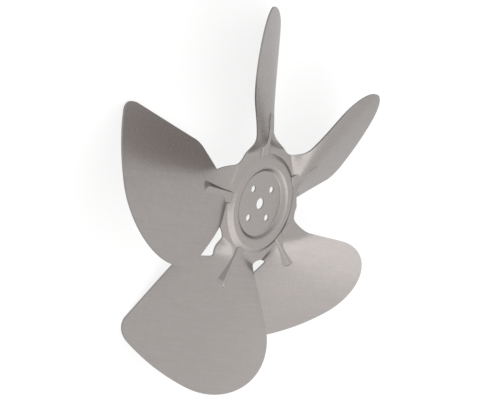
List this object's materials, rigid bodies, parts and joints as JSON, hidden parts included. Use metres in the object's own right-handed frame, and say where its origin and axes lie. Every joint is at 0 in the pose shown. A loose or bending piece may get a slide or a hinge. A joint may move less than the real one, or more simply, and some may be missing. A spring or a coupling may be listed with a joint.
{
  "type": "motor fan impeller",
  "caption": "Axial fan impeller pressed from one aluminium sheet: a dished hub with a bore and screw holes, and pitched blades with root beads that move air along the axis.",
  "frame": {"origin": "centre of the bore on the front face of the mounting disc", "axes": "+Z along the fan's axis towards its front, the side with the raised ring; +X along one blade's radial line, through one screw hole"},
  "size_m": [0.2222, 0.2276, 0.0479],
  "materials": {
    "aluminium_sheet": "satin mill finish"
  },
  "bodies": {
    "root": {"impeller": "aluminium_sheet"}
  },
  "joints": []
}
